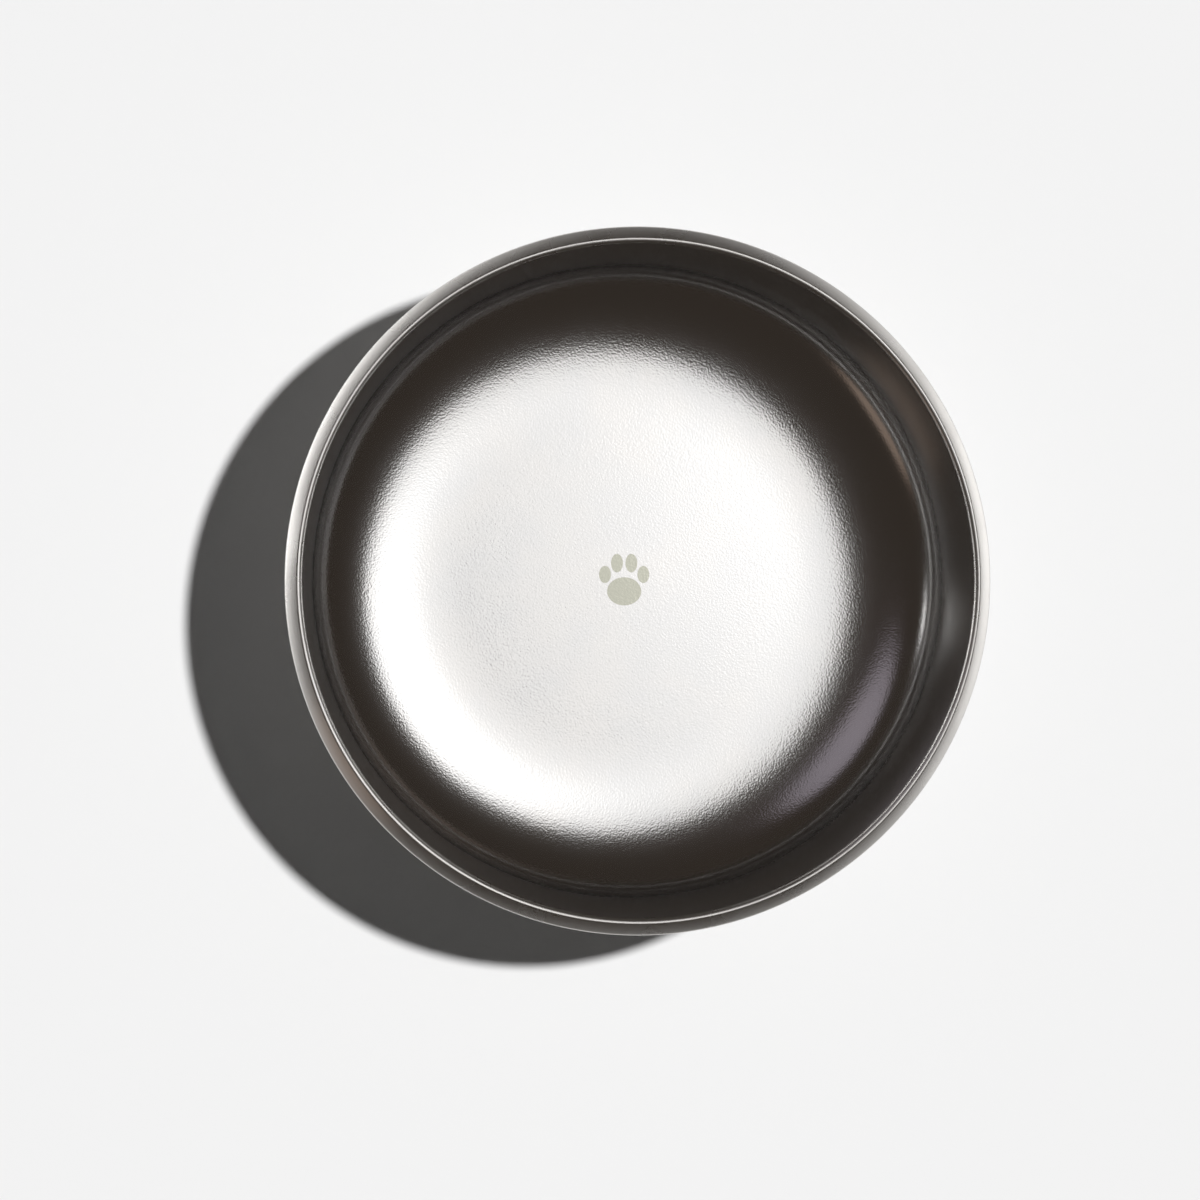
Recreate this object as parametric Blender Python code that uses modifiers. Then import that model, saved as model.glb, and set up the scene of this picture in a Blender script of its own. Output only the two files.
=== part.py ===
"""A double-walled steel dog bowl.

The bowl is five pieces, all turned about the Z axis:
  inner_bowl      the pressed food bowl, whose rim rolls outward and down
  outer_shell     the pressed outer wall, whose top edge is held inside the rolled rim
  base_plate      the disc that closes the bottom of the shell and carries the ring's groove
  ring_adhesive   the bonding film in the roof of the groove
  non_slip_ring   the silicone ring that the bowl stands on

The origin is the centre of the face that the bowl rests on, with +Z up. Sizes are in metres.
"""

import math

import bmesh
import bpy

MM = 0.001

# Rim
RIM_RADIUS = 100.0 * MM  # widest point of the whole bowl
RIM_WIDTH = 3.6 * MM  # from the crest out to the widest point
RIM_INNER_ROUND = 1.5 * MM  # from the inner wall up to the crest
RIM_CREST_ROUND = 0.8 * MM  # from the crest to the rim's sloping outer face
RIM_SLOPE_TOP = math.radians(35.0)  # slope of that face at its top; it is slightly rounded
RIM_SLOPE_FOOT = math.radians(42.0)  # and at its foot
RIM_EDGE_ROUND = 0.8 * MM  # from that face to the widest point
CURL_ROUND = 1.4 * MM  # the edge turned in under the widest point

# Food bowl
BOWL_DEPTH = 50.0 * MM  # crest of the rim to the lowest ring of the floor
INNER_SHEET = 0.7 * MM
INNER_WALL_LEAN = math.radians(6.5)  # from vertical
FILLET_WIDTH = 36.0 * MM  # the elliptical round between the floor and the wall
FILLET_HEIGHT = 13.0 * MM
FLOOR_CROWN = math.radians(1.4)  # slope at the edge of the crowned floor

# Outer shell
OUTER_SHEET = 0.7 * MM
OUTER_WALL_LEAN = math.radians(7.0)  # from vertical
SHOULDER_ROUND = 14.0 * MM  # between the upright neck and the leaning wall
OUTER_CORNER = 12.0 * MM  # between the wall and the underside
FLANGE_WIDTH = 3.0 * MM  # flat part of the underside, inside the corner

# Base plate
BASE_SHEET = 0.7 * MM
LAP_WIDTH = 4.0 * MM  # how far the plate reaches past the flange's opening
GROOVE_DEPTH = 2.0 * MM  # underside of the shell to the roof of the groove
GROOVE_SLOPE = 1.0 * MM  # width of the sloping step on each side of the groove
PANEL_RECESS = 0.5 * MM  # underside of the shell up to the plate's middle
FLOOR_GAP = 2.6 * MM  # air between the base plate and the food bowl

# Ring
RING_STAND = 2.0 * MM  # how far the ring stands below the steel
RING_WIDTH = 8.0 * MM
RING_EDGE_ROUND = 0.8 * MM
ADHESIVE_FILM = 0.3 * MM

CLEARANCE = 0.3 * MM  # between a piece and its neighbour
TURN_STEPS = 64  # facets round the axis

# Heights, from the face that the bowl rests on
UNDERSIDE_Z = RING_STAND
GROOVE_ROOF_Z = UNDERSIDE_Z + GROOVE_DEPTH
FLOOR_Z = GROOVE_ROOF_Z + BASE_SHEET + FLOOR_GAP + INNER_SHEET
RIM_Z = FLOOR_Z + BOWL_DEPTH

# The rim's sloping face is an arc that takes up what the two rounds leave of the rim's width
CREST_RADIUS = RIM_RADIUS - RIM_WIDTH
SLOPE_WIDTH = (
    RIM_WIDTH - RIM_CREST_ROUND * math.sin(RIM_SLOPE_TOP) - RIM_EDGE_ROUND * (1 - math.sin(RIM_SLOPE_FOOT))
)
SLOPE_RADIUS = SLOPE_WIDTH / (math.sin(RIM_SLOPE_FOOT) - math.sin(RIM_SLOPE_TOP))
SLOPE_CENTRE = (
    CREST_RADIUS + (RIM_CREST_ROUND - SLOPE_RADIUS) * math.sin(RIM_SLOPE_TOP),
    RIM_Z - RIM_CREST_ROUND + (RIM_CREST_ROUND - SLOPE_RADIUS) * math.cos(RIM_SLOPE_TOP),
)
WIDEST_Z = SLOPE_CENTRE[1] + (SLOPE_RADIUS - RIM_EDGE_ROUND) * math.cos(RIM_SLOPE_FOOT)

# Radii and heights that more than one piece uses
NECK_RADIUS = RIM_RADIUS - CURL_ROUND - CLEARANCE
CORNER_TOP_Z = UNDERSIDE_Z + OUTER_CORNER * (1 + math.sin(OUTER_WALL_LEAN))
NECK_BOTTOM_Z = WIDEST_Z - CURL_ROUND - CLEARANCE
SHOULDER_RUN = SHOULDER_ROUND * (1 - math.cos(OUTER_WALL_LEAN))
SHOULDER_DROP = SHOULDER_ROUND * math.sin(OUTER_WALL_LEAN)
WALL_RUN = (NECK_BOTTOM_Z - SHOULDER_DROP - CORNER_TOP_Z) * math.tan(OUTER_WALL_LEAN)
CORNER_CENTRE = NECK_RADIUS - SHOULDER_RUN - WALL_RUN - OUTER_CORNER * math.cos(OUTER_WALL_LEAN)
OPENING_RADIUS = CORNER_CENTRE - FLANGE_WIDTH
RING_OUTER_RADIUS = OPENING_RADIUS - CLEARANCE
RING_INNER_RADIUS = RING_OUTER_RADIUS - RING_WIDTH

STEEL = (0.60, 0.59, 0.57, 1.0)
RUBBER = (0.03, 0.03, 0.03, 1.0)
FILM = (0.75, 0.73, 0.66, 1.0)


def arc(centre, radius, start, end, steps):
    """Points (radius, height) along an arc; angles in radians, from the outward direction."""
    angles = [start + (end - start) * i / steps for i in range(steps + 1)]
    return [(centre[0] + radius * math.cos(a), centre[1] + radius * math.sin(a)) for a in angles]


def elliptical_arc(centre, halves, start, end, steps):
    """Points (radius, height) along the lower half of an ellipse; angles from its lowest point."""
    angles = [start + (end - start) * i / steps for i in range(steps + 1)]
    return [(centre[0] + halves[0] * math.sin(a), centre[1] - halves[1] * math.cos(a)) for a in angles]


def unit_normal(a, b):
    """The unit vector to the left of the way from a to b."""
    length = math.hypot(b[0] - a[0], b[1] - a[1])
    return (-(b[1] - a[1]) / length, (b[0] - a[0]) / length)


def without_repeats(points):
    """The points, less each one that lies on the point before it."""
    kept = [points[0]]
    for point in points[1:]:
        if math.dist(point, kept[-1]) > 1e-7:
            kept.append(point)
    return kept


def sheet_outline(face, thickness):
    """The closed outline of pressed sheet whose outer face is this line, walked clockwise.

    The other face lies to the right of the line, one thickness away, with mitred corners.
    """
    face = without_repeats(face)
    normals = [unit_normal(a, b) for a, b in zip(face, face[1:])]
    back = []
    for i, (r, z) in enumerate(face):
        before, after = normals[max(i - 1, 0)], normals[min(i, len(normals) - 1)]
        mitre = (before[0] + after[0], before[1] + after[1])
        scale = 2 * thickness / (mitre[0] ** 2 + mitre[1] ** 2)
        back_r = 0.0 if r < 1e-9 else r - mitre[0] * scale
        back.append((back_r, z - mitre[1] * scale))
    return face + back[::-1]


def plain_material(name, colour, roughness, metallic):
    """A material with one colour."""
    made = bpy.data.materials.new(name)
    made.use_nodes = True
    shader = made.node_tree.nodes["Principled BSDF"]
    shader.inputs["Base Color"].default_value = colour
    shader.inputs["Roughness"].default_value = roughness
    shader.inputs["Metallic"].default_value = metallic
    made.diffuse_color = colour
    return made


def turned(name, outline, material, collection, parent):
    """A solid made by turning an outline about the Z axis.

    An outline that starts and ends on the axis stays open there; any other is closed into a loop.
    """
    on_axis = outline[0][0] < 1e-9 and outline[-1][0] < 1e-9
    mesh = bpy.data.meshes.new(name)
    builder = bmesh.new()
    corners = [builder.verts.new((r, 0.0, z)) for r, z in outline]
    for a, b in zip(corners, corners[1:]):
        builder.edges.new((a, b))
    if not on_axis:
        builder.edges.new((corners[-1], corners[0]))
    builder.to_mesh(mesh)
    builder.free()

    obj = bpy.data.objects.new(name, mesh)
    collection.objects.link(obj)
    obj.parent = parent
    mesh.materials.append(material)
    screw = obj.modifiers.new("turn", "SCREW")
    screw.steps = TURN_STEPS
    screw.render_steps = TURN_STEPS
    screw.use_merge_vertices = True
    screw.merge_threshold = 0.00001
    screw.use_smooth_shade = True
    return obj


def inner_bowl_face():
    """The food side of the bowl, from the middle of the floor to the end of the rolled rim."""
    lean = INNER_WALL_LEAN
    wall_top = (
        CREST_RADIUS - RIM_INNER_ROUND * math.cos(lean),
        RIM_Z - RIM_INNER_ROUND * (1 - math.sin(lean)),
    )
    # Where the ellipse has the wall's slope, and where it has the crown's.
    wall_turn = math.atan2(FILLET_WIDTH, FILLET_HEIGHT * math.tan(lean))
    crown_turn = -math.atan(FILLET_WIDTH / FILLET_HEIGHT * math.tan(FLOOR_CROWN))
    wall_foot_z = FLOOR_Z + FILLET_HEIGHT * (1 - math.cos(wall_turn))
    wall_foot_r = wall_top[0] - (wall_top[1] - wall_foot_z) * math.tan(lean)
    fillet_centre = (wall_foot_r - FILLET_WIDTH * math.sin(wall_turn), FLOOR_Z + FILLET_HEIGHT)
    fillet = elliptical_arc(fillet_centre, (FILLET_WIDTH, FILLET_HEIGHT), crown_turn, wall_turn, 14)
    crown_radius = fillet[0][0] / math.sin(FLOOR_CROWN)
    crown_centre = (0.0, fillet[0][1] - crown_radius * math.cos(FLOOR_CROWN))
    quarter = math.pi / 2

    face = [(0.0, crown_centre[1] + crown_radius)]
    face += arc(crown_centre, crown_radius, quarter, quarter - FLOOR_CROWN, 3)[1:]
    face += fillet
    face += arc((CREST_RADIUS, RIM_Z - RIM_INNER_ROUND), RIM_INNER_ROUND, 2 * quarter - lean, quarter, 4)
    slope_start, slope_end = quarter - RIM_SLOPE_TOP, quarter - RIM_SLOPE_FOOT
    face += arc((CREST_RADIUS, RIM_Z - RIM_CREST_ROUND), RIM_CREST_ROUND, quarter, slope_start, 3)
    face += arc(SLOPE_CENTRE, SLOPE_RADIUS, slope_start, slope_end, 2)
    face += arc((RIM_RADIUS - RIM_EDGE_ROUND, WIDEST_Z), RIM_EDGE_ROUND, slope_end, 0.0, 3)
    face += arc((RIM_RADIUS - CURL_ROUND, WIDEST_Z), CURL_ROUND, 0.0, -quarter, 4)
    return face


def neck_top_height():
    """The height of the shell's top edge, just under the back of the rim's sloping face."""
    back_radius = SLOPE_RADIUS - INNER_SHEET - CLEARANCE
    return SLOPE_CENTRE[1] + math.sqrt(back_radius**2 - (NECK_RADIUS - SLOPE_CENTRE[0]) ** 2)


def outer_shell_face():
    """The outside of the shell, from its top edge down to the opening in the underside."""
    lean = OUTER_WALL_LEAN
    shoulder_centre = (NECK_RADIUS - SHOULDER_ROUND, NECK_BOTTOM_Z)
    corner_centre = (CORNER_CENTRE, UNDERSIDE_Z + OUTER_CORNER)
    face = [(NECK_RADIUS, neck_top_height())]
    face += arc(shoulder_centre, SHOULDER_ROUND, 0.0, -lean, 2)
    face += arc(corner_centre, OUTER_CORNER, -lean, -math.pi / 2, 7)
    face.append((OPENING_RADIUS, UNDERSIDE_Z))
    return face


def base_plate_face():
    """The top of the base plate, from its middle out to its lapped edge."""
    panel_z = UNDERSIDE_Z + PANEL_RECESS + BASE_SHEET
    roof_z = GROOVE_ROOF_Z + BASE_SHEET
    lap_z = UNDERSIDE_Z + OUTER_SHEET + CLEARANCE + BASE_SHEET
    groove_inside = RING_INNER_RADIUS - CLEARANCE - BASE_SHEET
    groove_outside = OPENING_RADIUS + BASE_SHEET
    return [
        (0.0, panel_z),
        (groove_inside - GROOVE_SLOPE, panel_z),
        (groove_inside, roof_z),
        (groove_outside, roof_z),
        (groove_outside + GROOVE_SLOPE, lap_z),
        (OPENING_RADIUS + LAP_WIDTH, lap_z),
    ]


def adhesive_outline():
    """The section of the bonding film, a flat ring just under the roof of the groove."""
    top = GROOVE_ROOF_Z - CLEARANCE
    inside, outside = RING_INNER_RADIUS + RING_EDGE_ROUND, RING_OUTER_RADIUS - RING_EDGE_ROUND
    bottom = top - ADHESIVE_FILM
    return [(inside, top), (outside, top), (outside, bottom), (inside, bottom)]


def ring_outline():
    """The section of the silicone ring, a flat band with rounded lower edges."""
    top = GROOVE_ROOF_Z - 2 * CLEARANCE - ADHESIVE_FILM
    soft = RING_EDGE_ROUND
    outline = [(RING_INNER_RADIUS, top), (RING_OUTER_RADIUS, top)]
    outline += arc((RING_OUTER_RADIUS - soft, soft), soft, 0.0, -math.pi / 2, 3)
    outline += arc((RING_INNER_RADIUS + soft, soft), soft, -math.pi / 2, -math.pi, 3)
    return outline


def main():
    for obj in list(bpy.data.objects):
        bpy.data.objects.remove(obj)

    bowl = bpy.data.collections.new("dog_bowl")
    bpy.context.scene.collection.children.link(bowl)
    centre = bpy.data.objects.new("bowl_centre", None)
    bowl.objects.link(centre)

    satin_steel = plain_material("satin_steel", STEEL, 0.35, 1.0)
    brushed_steel = plain_material("brushed_steel", STEEL, 0.3, 1.0)
    silicone = plain_material("silicone", RUBBER, 0.7, 0.0)
    film = plain_material("bonding_film", FILM, 0.5, 0.0)

    turned("inner_bowl", sheet_outline(inner_bowl_face(), INNER_SHEET), satin_steel, bowl, centre)
    turned("outer_shell", sheet_outline(outer_shell_face(), OUTER_SHEET), brushed_steel, bowl, centre)
    turned("base_plate", sheet_outline(base_plate_face(), BASE_SHEET), brushed_steel, bowl, centre)
    turned("ring_adhesive", adhesive_outline(), film, bowl, centre)
    turned("non_slip_ring", ring_outline(), silicone, bowl, centre)


main()
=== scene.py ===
# %% [markdown]
# # A double-walled steel feeding bowl
#
# The bowl is pressed from sheet: a food bowl whose rim rolls outward and down, an outer shell held
# inside that roll, a base plate, and a silicone ring glued in a groove so that the bowl doesn't slide.
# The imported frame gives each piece's place and outer size. The sizes within it, such as the rim's
# width, are named below and are those of the solids. Only the smallest rounds and the soft easing
# between stretches are this script's own. It also gives each piece its finish, and adds the light of
# the photograph.

# %% Load the frame
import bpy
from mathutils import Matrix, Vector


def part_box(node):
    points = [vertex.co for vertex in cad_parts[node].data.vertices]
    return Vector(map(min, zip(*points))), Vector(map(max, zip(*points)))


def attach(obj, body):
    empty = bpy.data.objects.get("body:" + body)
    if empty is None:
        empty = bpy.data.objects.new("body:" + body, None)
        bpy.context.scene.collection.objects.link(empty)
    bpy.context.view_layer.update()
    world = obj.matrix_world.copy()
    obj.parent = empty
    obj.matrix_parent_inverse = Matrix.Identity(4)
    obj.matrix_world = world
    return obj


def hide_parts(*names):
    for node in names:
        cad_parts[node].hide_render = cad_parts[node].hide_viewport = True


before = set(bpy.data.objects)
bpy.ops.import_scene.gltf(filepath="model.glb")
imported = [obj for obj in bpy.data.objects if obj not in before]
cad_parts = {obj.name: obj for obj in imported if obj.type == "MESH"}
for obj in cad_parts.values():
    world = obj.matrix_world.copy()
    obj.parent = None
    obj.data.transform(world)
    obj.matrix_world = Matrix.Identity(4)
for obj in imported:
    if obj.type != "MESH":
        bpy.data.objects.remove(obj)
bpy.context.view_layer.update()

# %% Modules
import math

import bpy
import numpy as np
from mathutils import Matrix, Vector

MM = 0.001

# %% [markdown]
# ## Turned surfaces
#
# Every piece of the bowl is round, so each one is an outline in the half plane (radius, height) that
# is carried round the Z axis. A Screw modifier could do that. Here it is done with numpy instead,
# because the whole grid of points is one formula, and because the number of steps then suits a
# close look: the frame's own solids have 64 facets, which would show as flats on polished steel.

# %% Arcs and outlines
QUARTER = math.pi / 2
ON_AXIS = 1e-9  # metres from the axis below which a point is on it
SAME_POINT = 1e-7  # metres below which two points are one


def arc(centre, radius, start, end, steps):
    """Points centre + radius * (cos a, sin a), for steps + 1 even angles a from start to end."""
    a = np.linspace(start, end, steps + 1)
    return np.stack([centre[0] + radius * np.cos(a), centre[1] + radius * np.sin(a)], axis=1)


def elliptical_arc(centre, halves, start, end, steps):
    """Points centre + (a sin t, -b cos t) of an ellipse with the half axes a and b.

    The parameter t runs from start to end, and is 0 at the ellipse's lowest point.
    """
    t = np.linspace(start, end, steps + 1)
    return np.stack([centre[0] + halves[0] * np.sin(t), centre[1] - halves[1] * np.cos(t)], axis=1)


def joined(*stretches):
    """The stretches one after the other, less each point that lies on the point before it."""
    points = np.concatenate([np.atleast_2d(s) for s in stretches])
    step = np.linalg.norm(np.diff(points, axis=0), axis=1)
    return points[np.concatenate([[True], step > SAME_POINT])]


def sheet_outline(face, thickness):
    """Both faces of pressed sheet: the face, and the face moved by the thickness to its right.

    Each point moves along the mitre m = n1 + n2 of its two edges' normals, by 2 t m / |m|^2.
    """
    edge = np.diff(face, axis=0)
    normal = np.stack([-edge[:, 1], edge[:, 0]], axis=1) / np.linalg.norm(edge, axis=1)[:, None]
    mitre = np.concatenate([normal[:1], normal]) + np.concatenate([normal, normal[-1:]])
    back = face - mitre * (2 * thickness / (mitre**2).sum(axis=1))[:, None]
    back[face[:, 0] < ON_AXIS, 0] = 0.0
    return np.concatenate([face, back[::-1]])


# %% The turning
TURN_STEPS = 288


def turned(name, outline, steps=TURN_STEPS):
    """A surface of revolution: the point at angle u and outline place k is (r_k cos u, r_k sin u, z_k).

    An outline that starts and ends on the axis keeps one vertex at each end, joined by a fan. Any
    other outline is closed into a loop. Faces point outward for an outline walked clockwise.
    """
    on_axis = outline[0, 0] < ON_AXIS
    ring = outline[1:-1] if on_axis else outline
    rows = len(ring)
    u = np.arange(steps) * (2 * math.pi / steps)
    grid = np.empty((rows, steps, 3))
    grid[..., 0] = ring[:, :1] * np.cos(u)
    grid[..., 1] = ring[:, :1] * np.sin(u)
    grid[..., 2] = ring[:, 1:]
    vertices = grid.reshape(-1, 3)

    last_row = rows - 1 if on_axis else rows
    k, j = np.meshgrid(np.arange(last_row), np.arange(steps), indexing="ij")
    below, beside = (k + 1) % rows, (j + 1) % steps
    corners = [k * steps + j, below * steps + j, below * steps + beside, k * steps + beside]
    faces = np.stack(corners, axis=-1).reshape(-1, 4).tolist()
    if on_axis:
        top, bottom = len(vertices), len(vertices) + 1
        poles = [[0.0, 0.0, outline[0, 1]], [0.0, 0.0, outline[-1, 1]]]
        vertices = np.concatenate([vertices, poles])
        around = np.arange(steps)
        after = (around + 1) % steps
        lowest = last_row * steps
        faces += np.stack([np.full(steps, top), around, after], axis=1).tolist()
        faces += np.stack([np.full(steps, bottom), lowest + after, lowest + around], axis=1).tolist()

    mesh = bpy.data.meshes.new(name)
    mesh.from_pydata(vertices.tolist(), [], faces)
    mesh.polygons.foreach_set("use_smooth", np.ones(len(faces), dtype=bool))
    mesh.update()
    piece = bpy.data.objects.new(name, mesh)
    bpy.context.scene.collection.objects.link(piece)
    print(f"{name}: {len(outline)} outline points, {len(faces)} faces")
    return piece


def mounted(piece, node):
    """The piece rides on the bowl's one body, and the frame's solid that it stands for is hidden."""
    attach(piece, "root")
    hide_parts(node)


# %% [markdown]
# ## The food bowl
#
# A crowned floor, a low wide round that is a quarter of an ellipse, a straight steep wall, and a rim
# that slopes down outside and is tucked in below. The floor is crowned so that it doesn't buckle when
# it is pressed. The light that the floor mirrors ends where the round gets steep, so the shape of the
# round matters more to the look than anything else on this bowl. Pressed sheet bends gradually, so
# where two stretches meet the slope is evened out over some millimetres. Without that the steel
# mirrors a hard line at each joint.

# %% The food bowl's sizes
rim_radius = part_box("inner_bowl")[1].x
rim_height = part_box("inner_bowl")[1].z
SHEET = 0.7 * MM
RIM_WIDTH = 3.6 * MM  # from the crest out to the widest point
RIM_SLOPE = (math.radians(35.0), math.radians(42.0))  # of the outer face, at its top and its foot
RIM_CREST_ROUND = 0.8 * MM
RIM_EDGE_ROUND = 0.8 * MM
RIM_INNER_ROUND = 1.5 * MM
CURL_ROUND = 1.4 * MM
BOWL_DEPTH = 50.0 * MM
WALL_LEAN = math.radians(6.5)
FILLET = np.array([36.0, 13.0]) * MM
FLOOR_CROWN = math.radians(1.4)
crest_radius = rim_radius - RIM_WIDTH
floor_height = rim_height - BOWL_DEPTH
print(f"rim radius {rim_radius / MM:.1f} mm, height {rim_height / MM:.1f} mm")


# %% The rim's outer face
def rim_face():
    """The rim from its crest to its widest point: a small round, a long shallow arc and a small round.

    An arc from slope p to slope q has the width R (sin q - sin p) and the drop R (cos p - cos q). The
    long arc's R is the one with which the three widths add up to the rim's width.
    """
    start, end = RIM_SLOPE
    crest_width = RIM_CREST_ROUND * math.sin(start)
    edge_width = RIM_EDGE_ROUND * (1 - math.sin(end))
    slope_radius = (RIM_WIDTH - crest_width - edge_width) / (math.sin(end) - math.sin(start))
    crest_centre = np.array([crest_radius, rim_height - RIM_CREST_ROUND])
    to_slope = np.array([math.sin(start), math.cos(start)])
    slope_centre = crest_centre + (RIM_CREST_ROUND - slope_radius) * to_slope
    to_edge = np.array([math.sin(end), math.cos(end)])
    edge_centre = slope_centre + (slope_radius - RIM_EDGE_ROUND) * to_edge
    return joined(
        arc(crest_centre, RIM_CREST_ROUND, QUARTER, QUARTER - start, 6),
        arc(slope_centre, slope_radius, QUARTER - start, QUARTER - end, 14),
        arc(edge_centre, RIM_EDGE_ROUND, QUARTER - end, 0.0, 6),
    )


rim = rim_face()
widest_height = rim[-1, 1]
print(f"the rim's outer face drops {(rim_height - widest_height) / MM:.2f} mm")


# %% Easing where the stretches meet
EASING = (18.0 * MM, 7.0 * MM)  # evened-out length where the floor ends and at the wall's foot
EASED_POINTS = 112  # points kept for the mesh
EASED_SAMPLES = 6000  # points at which the slope is worked out
NARROWEST_WINDOW = 0.001 * MM


def eased(line, floor_edge, wall_foot):
    """The line with its slope evened out, so that pressed stretches run into each other softly.

    With s the length along the line, the new slope at s is the mean of the old one over a window w(s):
    (S(s + w / 2) - S(s - w / 2)) / w, where S is the running integral of the slope. The window is
    wide where the floor ends, narrow at the wall's foot and closes at both ends of the line. The
    points that are kept share out the length and the turning evenly.
    """
    step = np.diff(line, axis=0)
    length = np.concatenate([[0.0], np.cumsum(np.linalg.norm(step, axis=1))])
    middles = (length[1:] + length[:-1]) / 2
    s = np.linspace(0.0, length[-1], EASED_SAMPLES)
    slope = np.interp(s, middles, np.arctan2(step[:, 1], step[:, 0]))
    running = np.concatenate([[0.0], np.cumsum((slope[1:] + slope[:-1]) / 2 * np.diff(s))])
    edge_s = np.interp(floor_edge, line[:, 0], length)
    foot_s = np.interp(wall_foot, line[:, 1], length)
    half = np.interp(s, [edge_s, foot_s], EASING) / 2
    half = np.clip(np.minimum(half, np.minimum(s, s[-1] - s)), NARROWEST_WINDOW, None)
    even = (np.interp(s + half, s, running) - np.interp(s - half, s, running)) / (2 * half)
    heading = np.stack([np.cos(even), np.sin(even)], axis=1)
    moved = (heading[1:] + heading[:-1]) / 2 * np.diff(s)[:, None]
    curve = line[0] + np.concatenate([np.zeros((1, 2)), np.cumsum(moved, axis=0)])
    curve += (line[-1] - curve[-1]) * (s / s[-1])[:, None]
    turning = np.concatenate([[0.0], np.cumsum(np.abs(np.diff(even)))])
    pace = s / s[-1] + turning / turning[-1]
    kept = np.searchsorted(pace, np.linspace(0.0, pace[-1], EASED_POINTS)).clip(0, len(s) - 1)
    return curve[kept]


# %% The food bowl's surface
def bowl_face():
    """The food side, from the middle of the floor to the tucked edge of the rim.

    The fillet is the ellipse centre + (a sin t, -b cos t), whose slope is (b / a) tan t. It starts
    where that slope is the crown's and ends where it is the wall's.
    """
    inner_centre = (crest_radius, rim_height - RIM_INNER_ROUND)
    to_wall_top = RIM_INNER_ROUND * np.array([math.cos(WALL_LEAN), 1 - math.sin(WALL_LEAN)])
    wall_top = np.array([crest_radius, rim_height]) - to_wall_top
    wall_turn = math.atan2(FILLET[0], FILLET[1] * math.tan(WALL_LEAN))
    crown_turn = -math.atan(FILLET[0] / FILLET[1] * math.tan(FLOOR_CROWN))
    foot_height = floor_height + FILLET[1] * (1 - math.cos(wall_turn))
    foot_radius = wall_top[0] - (wall_top[1] - foot_height) * math.tan(WALL_LEAN)
    fillet_centre = (foot_radius - FILLET[0] * math.sin(wall_turn), floor_height + FILLET[1])
    fillet = elliptical_arc(fillet_centre, FILLET, crown_turn, wall_turn, 80)
    crown_radius = fillet[0, 0] / math.sin(FLOOR_CROWN)
    crown_centre = (0.0, fillet[0, 1] - crown_radius * math.cos(FLOOR_CROWN))
    print(f"floor to fillet at {fillet[0, 0] / MM:.1f} mm, fillet to wall at {foot_radius / MM:.1f} mm")
    pressed = joined(
        (0.0, crown_centre[1] + crown_radius),
        arc(crown_centre, crown_radius, QUARTER, QUARTER - FLOOR_CROWN, 60)[1:],
        fillet,
        np.linspace((foot_radius, foot_height), wall_top, 60),
    )
    return joined(
        eased(pressed, fillet[0, 0], foot_height),
        arc(inner_centre, RIM_INNER_ROUND, 2 * QUARTER - WALL_LEAN, QUARTER, 14),
        rim,
        arc((rim_radius - CURL_ROUND, widest_height), CURL_ROUND, 0.0, -QUARTER, 8),
    )


food_bowl = turned("food_bowl", sheet_outline(bowl_face(), SHEET))
mounted(food_bowl, "inner_bowl")

# %% [markdown]
# ## The outer shell
#
# The shell's top edge stands up inside the rolled rim. Below it the shell turns in with a wide
# shoulder, leans down to a round corner and ends in a narrow flange, on which the base plate lies.

# %% The outer shell
SHELL_LEAN = math.radians(7.0)
SHOULDER_ROUND = 14.0 * MM
CORNER_ROUND = 12.0 * MM
CLEARANCE = 0.3 * MM
neck_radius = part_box("outer_shell")[1].x
neck_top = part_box("outer_shell")[1].z
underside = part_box("outer_shell")[0].z
neck_bottom = widest_height - CURL_ROUND - CLEARANCE
FLANGE_WIDTH = 3.0 * MM


def shell_face():
    """The shell's outside, from its top edge down to the opening in the underside."""
    corner_top = underside + CORNER_ROUND * (1 + math.sin(SHELL_LEAN))
    wall_top = neck_bottom - SHOULDER_ROUND * math.sin(SHELL_LEAN)
    wall_run = (wall_top - corner_top) * math.tan(SHELL_LEAN)
    shoulder_run = SHOULDER_ROUND * (1 - math.cos(SHELL_LEAN))
    corner_radius = neck_radius - shoulder_run - wall_run - CORNER_ROUND * math.cos(SHELL_LEAN)
    shoulder = arc((neck_radius - SHOULDER_ROUND, neck_bottom), SHOULDER_ROUND, 0.0, -SHELL_LEAN, 10)
    corner = arc((corner_radius, underside + CORNER_ROUND), CORNER_ROUND, -SHELL_LEAN, -QUARTER, 28)
    return joined(
        (neck_radius, neck_top),
        shoulder,
        np.linspace(shoulder[-1], corner[0], 12),
        corner,
        (corner_radius - FLANGE_WIDTH, underside),
    )


outer_wall = turned("outer_wall", sheet_outline(shell_face(), SHEET))
mounted(outer_wall, "outer_shell")

# %% [markdown]
# ## The base
#
# The base plate closes the shell. A groove pressed into it holds the silicone ring, and its middle
# is recessed by half a millimetre. The pressed corners of the real plate are rounds about as wide as
# the sheet is thick, so each corner of the outline is rounded by an arc that touches both edges.

# %% Rounded corners
def rounded(points, radius, steps=5):
    """The outline with each inner corner replaced by an arc of this radius, touching both edges.

    The arc starts radius * tan(turn / 2) before the corner, and its centre lies on the inside normal.
    """
    points = np.asarray(points, dtype=float)
    made = [points[:1]]
    for before, corner, after in zip(points, points[1:], points[2:]):
        into = (corner - before) / np.linalg.norm(corner - before)
        out = (after - corner) / np.linalg.norm(after - corner)
        turn = math.atan2(into[0] * out[1] - into[1] * out[0], into @ out)
        start = corner - into * radius * math.tan(abs(turn) / 2)
        side = math.copysign(1.0, turn)
        centre = start + side * radius * np.array([-into[1], into[0]])
        angle = math.atan2(start[1] - centre[1], start[0] - centre[0])
        made.append(arc(centre, radius, angle, angle + turn, steps))
    return joined(*made, points[-1:])


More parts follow.
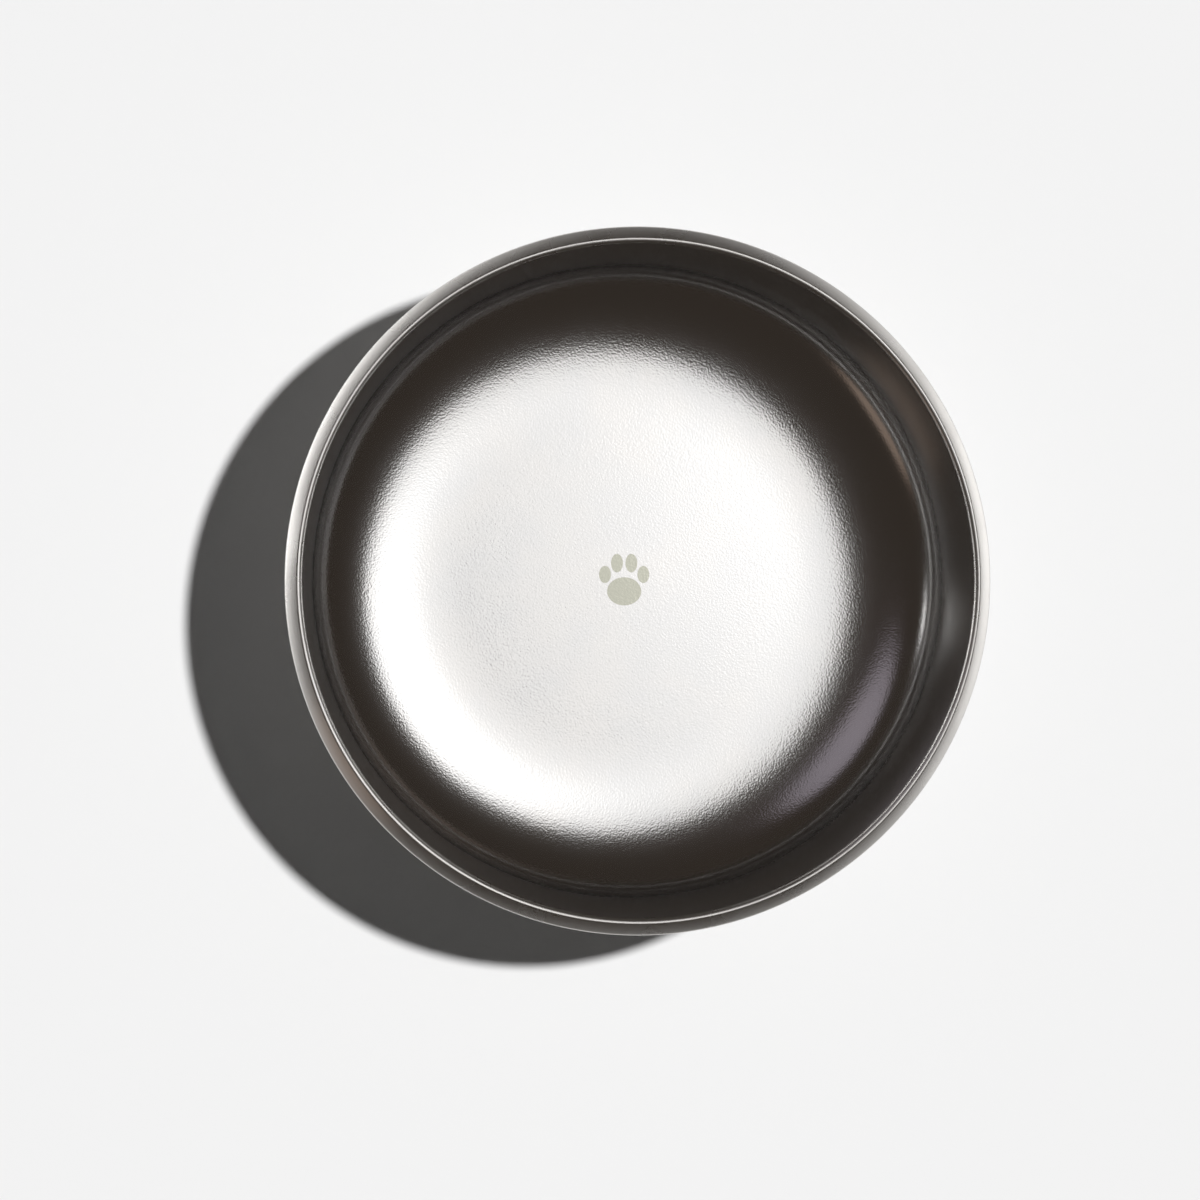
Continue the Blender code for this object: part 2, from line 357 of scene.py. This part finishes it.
# %% The base plate
plate_low, plate_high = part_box("base_plate")
ring_low, ring_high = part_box("non_slip_ring")
GROOVE_DEPTH = 2.0 * MM
GROOVE_SLOPE = 1.0 * MM
PANEL_RECESS = 0.5 * MM
RING_WIDTH = 8.0 * MM
PRESSED_CORNER = 0.9 * MM
ring_outer = ring_high.x
ring_inner = ring_outer - RING_WIDTH
opening_radius = ring_outer + CLEARANCE
groove_inside = ring_inner - CLEARANCE - SHEET
groove_outside = opening_radius + SHEET
panel_top = underside + PANEL_RECESS + SHEET
roof_top = underside + GROOVE_DEPTH + SHEET
lap_top = underside + 2 * SHEET + CLEARANCE
plate_corners = [
    (0.0, panel_top),
    (groove_inside - GROOVE_SLOPE, panel_top),
    (groove_inside, roof_top),
    (groove_outside, roof_top),
    (groove_outside + GROOVE_SLOPE, lap_top),
    (plate_high.x, lap_top),
]
closing_plate = turned("closing_plate", sheet_outline(rounded(plate_corners, PRESSED_CORNER), SHEET))
mounted(closing_plate, "base_plate")

# %% The bonding film and the silicone ring
RING_EDGE_ROUND = 0.8 * MM
RING_TOP_ROUND = 0.3 * MM
FILM_EDGE = 0.12 * MM
FILM_CORNER_ROUND = 0.6 * FILM_EDGE
film_low, film_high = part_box("ring_adhesive")
film_inner = ring_inner + RING_EDGE_ROUND

# The outline starts and ends within its upper edge, so that each of the four corners is rounded.
film_corners = [
    (film_inner + FILM_EDGE, film_high.z),
    (film_high.x, film_high.z),
    (film_high.x, film_low.z),
    (film_inner, film_low.z),
    (film_inner, film_high.z),
    (film_inner + FILM_EDGE, film_high.z),
]
bond = turned("bond_ring", rounded(film_corners, FILM_CORNER_ROUND, 3)[:-1])
mounted(bond, "ring_adhesive")


def ring_section():
    """The ring's section: a flat band with a quarter round at each lower edge and small upper rounds."""
    soft, small = RING_EDGE_ROUND, RING_TOP_ROUND
    top = ring_high.z
    return joined(
        arc((ring_inner + small, top - small), small, 2 * QUARTER, QUARTER, 4),
        arc((ring_outer - small, top - small), small, QUARTER, 0.0, 4),
        arc((ring_outer - soft, soft), soft, 0.0, -QUARTER, 8),
        arc((ring_inner + soft, soft), soft, -QUARTER, -2 * QUARTER, 8),
    )


grip_ring = turned("grip_ring", ring_section())
mounted(grip_ring, "non_slip_ring")

# %% [markdown]
# ## Shader maths as expressions
#
# A finish is a formula over the surface, such as fine lines that follow the radius. Written with
# single nodes it would be long and hard to read, so a small class wraps a socket, and Python's own
# operators add the Math nodes.


# %% Sockets that can be added and multiplied
class Wire:
    """A node's output in one material's tree. Arithmetic on wires adds Math nodes."""

    def __init__(self, tree, socket):
        self.tree, self.socket = tree, socket

    def node(self, kind, settings=None, output=0, **inputs):
        """Any other node: its type, its settings, and then its sockets' values or links.

        A socket goes by its name, or by i and its number where several have the same name.
        """
        made = self.tree.nodes.new(kind)
        for key, value in (settings or {}).items():
            setattr(made, key, value)
        for key, value in inputs.items():
            if key[0] == "i" and key[1:].isdigit():
                slot = made.inputs[int(key[1:])]
            else:
                wanted = key.replace("_", " ").lower()
                slot = next(s for s in made.inputs if s.enabled and s.name.lower() == wanted)
            if isinstance(value, Wire):
                self.tree.links.new(value.socket, slot)
            else:
                slot.default_value = value
        return Wire(self.tree, made.outputs[output])

    def math(self, operation, *values):
        """A Math node on these values."""
        sockets = {f"i{i}": value for i, value in enumerate(values)}
        return self.node("ShaderNodeMath", {"operation": operation}, **sockets)

    def __add__(self, other):
        return self.math("ADD", self, other)

    def __sub__(self, other):
        return self.math("SUBTRACT", self, other)

    def __rsub__(self, other):
        return self.math("SUBTRACT", other, self)

    def __mul__(self, other):
        return self.math("MULTIPLY", self, other)

    def __truediv__(self, other):
        return self.math("DIVIDE", self, other)

    def __pow__(self, other):
        return self.math("POWER", self, other)

    __radd__ = __add__
    __rmul__ = __mul__

    def ramp(self, low, high):
        """0 below low, 1 above high, and a smooth step between; the two may come in either order."""
        return self.node(
            "ShaderNodeMapRange", {"interpolation_type": "SMOOTHSTEP"},
            value=self, from_min=low, from_max=high,
        )


def blend(share, first, second):
    """The first colour where the share is 0, the second where it is 1, and between them in between."""
    settings = {"data_type": "RGBA"}
    return share.node("ShaderNodeMix", settings, output=2, i0=share, i6=first, i7=second)


def varied(base, *noises):
    """A value that noise moves up and down: the base, plus (noise - 0.5) * spread for each pair."""
    for noise, spread in noises:
        base = base + (noise - 0.5) * spread
    return base


# %% Places on the surface
def new_material(name, **constants):
    """A material, its shader with constant sockets set, and a wire to start expressions from."""
    made = bpy.data.materials.new(name)
    made.use_nodes = True
    tree = made.node_tree
    shader = tree.nodes["Principled BSDF"]
    for key, value in constants.items():
        shader.inputs[key.replace("_", " ").title().replace("Ior", "IOR")].default_value = value
    place = Wire(tree, tree.nodes.new("ShaderNodeTexCoord").outputs["Object"])
    return made, shader, place


def plug(shader, **wires):
    """Link wires into the shader's sockets by name."""
    for key, wire in wires.items():
        wire.tree.links.new(wire.socket, shader.inputs[key.replace("_", " ").title()])


def axes(place):
    """The X, Y and Z of the place, as three wires in metres."""
    split = place.node("ShaderNodeSeparateXYZ", vector=place)
    return [Wire(place.tree, split.socket.node.outputs[i]) for i in range(3)]


def grain(place, size, detail=2.0):
    """Noise from 0 to 1 whose grains measure about this many metres."""
    return place.node("ShaderNodeTexNoise", vector=place, scale=1 / size, detail=detail)


def turned_lines(place, width, waviness):
    """Noise that runs round the axis in lines this wide.

    Its four inputs are the direction from the axis times a small waviness, and the height and the
    radius in line widths. So it has no seam.
    """
    x, y, z = axes(place)
    radius = x.math("SQRT", x * x + y * y)
    away = x.math("MAXIMUM", radius, 0.01 * MM)
    where = place.node(
        "ShaderNodeCombineXYZ", x=x / away * waviness, y=y / away * waviness, z=z / width,
    )
    return place.node(
        "ShaderNodeTexNoise", {"noise_dimensions": "4D"},
        vector=where, w=radius / width, scale=1.0, detail=3.0, roughness=0.6,
    )


def bumped(height, distance):
    """A normal from a height of 0 to 1 that stands for this many metres."""
    return height.node("ShaderNodeBump", height=height, distance=distance)


# %% [markdown]
# ## Blasted steel with a small printed mark
#
# The inside is blasted with fine grit, so it is satin: it mirrors the light overhead as a wide soft
# patch. At the patch's edge single grains catch the light or miss it, which shows as a fine speckle.
# The speckle is a bump of two grain sizes. In the middle of the floor is a small darker mark, here a
# plain paw print, made of five ellipses in the floor's plane.

# %% The paw print
MARK_EDGE = 0.12 * MM  # half the width over which the print fades out
PAD = ((0.0, -3.0), (5.0, 4.1))  # centre and half axes, in millimetres
TOES = (
    ((-5.6, 1.9), (1.75, 2.5)),
    ((-2.1, 5.2), (1.75, 2.7)),
    ((2.1, 5.2), (1.75, 2.7)),
    ((5.6, 1.9), (1.75, 2.5)),
)


def ellipse_mask(x, y, centre, halves):
    """1 inside the ellipse and 0 outside: the root of ((x - cx) / a)^2 + ((y - cy) / b)^2 against 1."""
    across = (x - centre[0] * MM) / (halves[0] * MM)
    along = (y - centre[1] * MM) / (halves[1] * MM)
    distance = x.math("SQRT", across * across + along * along)
    soft = MARK_EDGE / (min(halves) * MM)
    return distance.ramp(1 + soft, 1 - soft)


def paw_mark(place):
    """A plain paw print round the middle of the floor: wherever the pad or one of the toes is."""
    x, y, _ = axes(place)
    mask = ellipse_mask(x, y, *PAD)
    for toe in TOES:
        mask = x.math("MAXIMUM", mask, ellipse_mask(x, y, *toe))
    return mask


# %% The satin steel
FLOOR_ROUGHNESS = 0.175
WALL_ROUGHNESS = 0.32
ROUGHENING = (12 * MM, 30 * MM)  # the heights over which the floor's roughness becomes the wall's
GRIT_COARSE = 0.6 * MM
GRIT_FINE = 0.4 * MM
GRIT_HEIGHT = 0.03 * MM
SATIN_CLOUD = 18 * MM
SATIN_WARM = (0.625, 0.615, 0.605, 1.0)
SATIN_COOL = (0.612, 0.608, 0.605, 1.0)
MARK_COLOUR = (0.40, 0.40, 0.34, 1.0)


def satin_steel():
    """Blasted steel: satin, speckled at the grain of the grit, with the paw mark on the floor."""
    made, shader, place = new_material("blasted_steel", metallic=1.0)
    coarse = grain(place, GRIT_COARSE, detail=0.0)
    fine = grain(place, GRIT_FINE, detail=0.0)
    cloud = grain(place, SATIN_CLOUD)
    steel = blend(cloud.ramp(0.3, 0.7), SATIN_WARM, SATIN_COOL)
    z = axes(place)[2]
    rough = FLOOR_ROUGHNESS + z.ramp(*ROUGHENING) * (WALL_ROUGHNESS - FLOOR_ROUGHNESS)
    plug(
        shader,
        base_color=blend(paw_mark(place), steel, MARK_COLOUR),
        roughness=varied(rough, (cloud, 0.03), (fine, 0.06)),
        normal=bumped(coarse * 0.6 + fine * 0.4, GRIT_HEIGHT),
    )
    return made


# %% [markdown]
# ## Polished and brushed steel
#
# The rim is polished on a lathe and the wall is brushed the same way, so both carry fine lines that
# run round the axis. Such lines spread a highlight across them, which the shader's anisotropy gives,
# turned by a quarter so that the spread is across the lines. The lines that a close look can make
# out are a bump on top of it.

# %% The polished rim and the brushed wall
RIM_ROUGHNESS = 0.28
RIM_LINES = 0.12 * MM
RIM_LINE_HEIGHT = 0.006 * MM
RIM_CLOUD = 12 * MM
RIM_DIM = (0.60, 0.585, 0.565, 1.0)
RIM_BRIGHT = (0.66, 0.645, 0.625, 1.0)
BRUSHED_ROUGHNESS = 0.3
BRUSHED_LINES = 0.16 * MM
BRUSHED_LINE_HEIGHT = 0.012 * MM
BRUSHED_BANDS = 1.4 * MM
BRUSHED_DIM = (0.53, 0.52, 0.50, 1.0)
BRUSHED_BRIGHT = (0.67, 0.655, 0.635, 1.0)


def polished_rim():
    """Lathe-polished steel with fine lines round the rim."""
    made, shader, place = new_material(
        "polished_rim", metallic=1.0, anisotropic=0.6, anisotropic_rotation=0.25,
    )
    lines = turned_lines(place, RIM_LINES, 3.0)
    cloud = grain(place, RIM_CLOUD)
    plug(
        shader,
        base_color=blend(lines.ramp(0.25, 0.75), RIM_DIM, RIM_BRIGHT),
        roughness=varied(RIM_ROUGHNESS, (cloud, 0.08)),
        normal=bumped(lines, RIM_LINE_HEIGHT),
    )
    return made


def brushed_steel():
    """The wall's steel, brushed round the axis, a little coarser than the rim."""
    made, shader, place = new_material(
        "brushed_wall", metallic=1.0, anisotropic=0.7, anisotropic_rotation=0.25,
    )
    lines = turned_lines(place, BRUSHED_LINES, 2.5)
    bands = turned_lines(place, BRUSHED_BANDS, 1.2)
    plug(
        shader,
        base_color=blend(lines * 0.6 + bands * 0.4, BRUSHED_DIM, BRUSHED_BRIGHT),
        roughness=varied(BRUSHED_ROUGHNESS, (lines, 0.14), (bands, 0.06)),
        normal=bumped(lines, BRUSHED_LINE_HEIGHT),
    )
    return made


# %% [markdown]
# ## The underside's finishes
#
# The base plate keeps the dull grain of rolled sheet, straight and in one direction. The ring is
# moulded silicone, matt and slightly mottled, and the film above it is a dull cream.

# %% The mill finish
MILL_ROUGHNESS = 0.36
MILL_GRAIN = (9 * MM, 0.25 * MM, 2 * MM)  # a grain's length, width and height
MILL_GRAIN_HEIGHT = 0.008 * MM
MILL_CLOUD = 22 * MM
MILL_DIM = (0.50, 0.49, 0.475, 1.0)
MILL_BRIGHT = (0.64, 0.63, 0.61, 1.0)


def mill_finish():
    """Rolled sheet: faint straight lines along X, made by stretching the noise, and dull patches."""
    made, shader, place = new_material("mill_finish", metallic=1.0)
    x, y, z = [axis / size for axis, size in zip(axes(place), MILL_GRAIN)]
    stretched = place.node("ShaderNodeCombineXYZ", x=x, y=y, z=z)
    lines = place.node("ShaderNodeTexNoise", vector=stretched, scale=1.0, detail=3.0)
    cloud = grain(place, MILL_CLOUD)
    plug(
        shader,
        base_color=blend(lines * 0.5 + cloud * 0.5, MILL_DIM, MILL_BRIGHT),
        roughness=varied(MILL_ROUGHNESS, (lines, 0.16), (cloud, 0.1)),
        normal=bumped(lines, MILL_GRAIN_HEIGHT),
    )
    return made


# %% Silicone and film
MOULDED_CLOUD = 9 * MM
MOULDED_GRAIN_HEIGHT = 0.02 * MM


def moulded(name, dark, light, roughness, grain_size):
    """A matt moulded finish between two colours, with a fine even grain."""
    made, shader, place = new_material(name)
    fine = grain(place, grain_size)
    cloud = grain(place, MOULDED_CLOUD)
    plug(
        shader,
        base_color=blend(fine * 0.4 + cloud * 0.6, dark, light),
        roughness=varied(roughness, (cloud, 0.12)),
        normal=bumped(fine, MOULDED_GRAIN_HEIGHT),
    )
    return made


CREAM = ((0.66, 0.63, 0.55, 1.0), (0.76, 0.74, 0.67, 1.0))
BLACK = ((0.022, 0.022, 0.023, 1.0), (0.04, 0.04, 0.041, 1.0))
film = moulded("film", *CREAM, roughness=0.5, grain_size=0.6 * MM)
silicone = moulded("silicone", *BLACK, roughness=0.62, grain_size=0.4 * MM)


# %% Put the finishes on
def finish(piece, *materials):
    """Give the piece its materials. The first covers all of it until faces ask for another."""
    for material in materials:
        piece.data.materials.append(material)
        print(f"{piece.name}: {material.name}, {len(material.node_tree.nodes)} nodes")


finish(food_bowl, satin_steel(), polished_rim())
finish(outer_wall, brushed_steel())
finish(closing_plate, mill_finish())
finish(bond, film)
finish(grip_ring, silicone)


def give_rim_its_finish(piece):
    """The second finish goes to each face whose middle lies past the top of the inner wall."""
    mesh = piece.data
    middle = np.empty(len(mesh.polygons) * 3)
    mesh.polygons.foreach_get("center", middle)
    middle = middle.reshape(-1, 3)
    wall_top = rim_height - RIM_INNER_ROUND * (1 - math.sin(WALL_LEAN))
    beyond = np.hypot(middle[:, 0], middle[:, 1]) > crest_radius
    on_rim = (middle[:, 2] > wall_top) | (beyond & (middle[:, 2] > neck_bottom))
    mesh.polygons.foreach_set("material_index", on_rim.astype(np.int32))
    mesh.update()
    print(f"{piece.name}: {on_rim.sum()} polished faces of {len(on_rim)}")


give_rim_its_finish(food_bowl)

# %% [markdown]
# ## The floor and the light
#
# The photograph is taken from almost straight above. Its ground is an even pale grey with one crisp
# shadow to the lower left, so one small lamp lights the ground. The steel mirrors something else: a
# large soft box overhead with a brighter core, three weak patches to the left, a pale horizon on two
# sides, which mostly the rim can see, and otherwise a dark, slightly warm room. The two are kept
# apart with light linking, so that the soft light over the steel doesn't fill the shadow on the
# ground. The patches are round suns, because these give the same light at every place on the bowl,
# as a far soft box does.
#
# The world is split in the same way by the kind of ray. The camera sees a pale background. The steel
# mirrors the dark room and not that background, because the walls and the rim are dark in the
# photograph. The matt ground gets a dim fill of its own, which sets the tone of the shadow.

# %% The floor
FLOOR_COLOUR = (0.80, 0.80, 0.80, 1.0)
FLOOR_HALF = 0.8


def pale_floor():
    """A square in the plane z = 0, matt and pale."""
    corners = [(-1, -1), (1, -1), (1, 1), (-1, 1)]
    mesh = bpy.data.meshes.new("ground")
    mesh.from_pydata([(x * FLOOR_HALF, y * FLOOR_HALF, 0.0) for x, y in corners], [], [(0, 1, 2, 3)])
    floor = bpy.data.objects.new("ground", mesh)
    bpy.context.scene.collection.objects.link(floor)
    made, shader, place = new_material("pale_ground", roughness=1.0, specular_ior_level=0.0)
    shader.inputs["Base Color"].default_value = FLOOR_COLOUR
    mesh.materials.append(made)
    print(f"{floor.name}: {2 * FLOOR_HALF:.1f} m square")
    return floor


floor = pale_floor()

# %% Lamps and what they light
NEUTRAL = (1.0, 1.0, 1.0)
VIOLET = (0.94, 0.86, 1.0)
OCHRE = (1.0, 0.75, 0.6)


def direction(elevation, azimuth):
    """The unit vector towards a place in the sky, from degrees above the horizon and round from +X."""
    e, a = math.radians(elevation), math.radians(azimuth)
    return Vector((math.cos(e) * math.cos(a), math.cos(e) * math.sin(a), math.sin(e)))


def group(name, *members):
    """A collection for light linking, which isn't part of the scene's own tree."""
    made = bpy.data.collections.new(name)
    for member in members:
        made.objects.link(member)
    return made


def sun(name, elevation, azimuth, width, strength, lights, colour=NEUTRAL):
    """A far lamp that measures width degrees across and lights only one group."""
    lamp = bpy.data.lights.new(name, "SUN")
    lamp.angle = math.radians(width)
    lamp.energy = strength
    lamp.color = colour
    made = bpy.data.objects.new(name, lamp)
    made.rotation_mode = "QUATERNION"
    made.rotation_quaternion = direction(elevation, azimuth).to_track_quat("Z", "Y")
    made.light_linking.receiver_collection = lights
    bpy.context.scene.collection.objects.link(made)
    print(f"{name}: {elevation} degrees up, {azimuth} round, {width} wide, strength {strength:.2f}")


def patch(name, elevation, azimuth, width, radiance, colour=NEUTRAL):
    """A round patch of sky of this width in degrees, as bright as a surface of this radiance.

    A cone of half angle h covers the solid angle 2 pi (1 - cos h), and the sun's strength is the
    radiance times that.
    """
    solid_angle = 2 * math.pi * (1 - math.cos(math.radians(width) / 2))
    sun(name, elevation, azimuth, width, radiance * solid_angle, steel_only, colour)


# %% Place the lamps
GROUND_LIGHT = 3.8
steel_only = group("lit_steel", food_bowl, outer_wall, closing_plate, bond, grip_ring)
ground_only = group("lit_ground", floor)
sun("ground_key", 61.4, 25.2, 3.2, GROUND_LIGHT, ground_only)
patch("soft_box", 76, 20, 36, 1.35)
patch("soft_box_core", 70, 20, 24, 0.6)
patch("glow_left", 55, 140, 25, 0.3, VIOLET)
patch("card_left", 16, 172, 10, 1.5)
patch("low_left", 18, 215, 25, 0.25, OCHRE)

# %% The surroundings
WHITE = (1.0, 1.0, 1.0, 1.0)
WARM = (1.0, 0.80, 0.65, 1.0)
SURROUNDINGS = 0.045  # strength of the dark room
HORIZON_LEFT = (158, 4.5)  # azimuth in degrees and strength
HORIZON_RIGHT = (8, 3.0)
HORIZON_FADE = (0.2, 0.08)  # sines of the elevations where the horizon's glow ends and is full
SHADOW_FILL = 0.052  # strength of the ground's own fill
BACKGROUND = 0.91
PALE = (BACKGROUND, BACKGROUND, BACKGROUND, 1.0)


def surroundings():
    """A dark warm room with a pale horizon for the steel to mirror, a dim even fill for the matt
    ground, and a pale background where the camera sees past the floor."""
    world = bpy.data.worlds.new("room")
    world.use_nodes = True
    tree = world.node_tree
    tree.nodes.clear()
    start = Wire(tree, tree.nodes.new("ShaderNodeTexCoord").outputs["Generated"])
    x, y, z = axes(start)

    def glow(azimuth, strength):
        """The strength times the fourth power of the cosine to this azimuth, and 0 behind it."""
        to = direction(0, azimuth)
        return x.math("MAXIMUM", x * to.x + y * to.y, 0.0) ** 4.0 * strength

    horizon = (glow(*HORIZON_LEFT) + glow(*HORIZON_RIGHT)) * z.ramp(*HORIZON_FADE)
    warm = start.node("ShaderNodeBackground", color=WARM, strength=SURROUNDINGS)
    neutral = start.node("ShaderNodeBackground", color=WHITE, strength=horizon)
    room = start.node("ShaderNodeAddShader", i0=warm, i1=neutral)
    fill = start.node("ShaderNodeBackground", color=WHITE, strength=SHADOW_FILL)
    pale = start.node("ShaderNodeBackground", color=PALE, strength=1.0)
    light_path = tree.nodes.new("ShaderNodeLightPath")
    from_ground = Wire(tree, light_path.outputs["Is Diffuse Ray"])
    from_camera = Wire(tree, light_path.outputs["Is Camera Ray"])
    lit = start.node("ShaderNodeMixShader", i0=from_ground, i1=room, i2=fill)
    both = start.node("ShaderNodeMixShader", i0=from_camera, i1=lit, i2=pale)
    output = tree.nodes.new("ShaderNodeOutputWorld")
    tree.links.new(both.socket, output.inputs["Surface"])
    bpy.context.scene.world = world
    print(f"{world.name}: {len(tree.nodes)} nodes")


surroundings()

# %% [markdown]
# ## The camera
#
# The rim is a circle in the photograph, and the middle of the floor lies a little left of the rim's
# middle. So the camera stands almost straight above, tilted a few degrees towards -X. The distance
# comes from how much smaller the floor and the shadow look than the rim.

# %% The camera
CAMERA_DISTANCE = 1.5
CAMERA_TILT = math.radians(5.5)
FRAME_WIDTH = 338.5 * MM  # width of the rim's plane that the frame shows
AIM = (-11.17 * MM, -5.36 * MM)  # the point in the rim's plane at the middle of the frame
SENSOR_WIDTH = 36.0  # millimetres, as Blender counts lenses

position = Vector((-math.sin(CAMERA_TILT), 0.0, math.cos(CAMERA_TILT))) * CAMERA_DISTANCE
position.z += widest_height
backward = (position - Vector((*AIM, widest_height))).normalized()
right = (Vector((1, 0, 0)) - backward * backward.x).normalized()
upward = backward.cross(right)
lens_data = bpy.data.cameras.new("view_from_above")
lens_data.sensor_width = SENSOR_WIDTH
lens_data.lens = SENSOR_WIDTH * CAMERA_DISTANCE / FRAME_WIDTH
lens_data.clip_end = 100.0
camera = bpy.data.objects.new("view_from_above", lens_data)
turn = Matrix((right, upward, backward)).transposed().to_4x4()
camera.matrix_world = Matrix.Translation(position) @ turn
bpy.context.scene.collection.objects.link(camera)
bpy.context.scene.camera = camera
bpy.context.scene.view_settings.view_transform = "Standard"
print(f"lens {lens_data.lens:.1f} mm, camera at {[round(c, 3) for c in position]}")
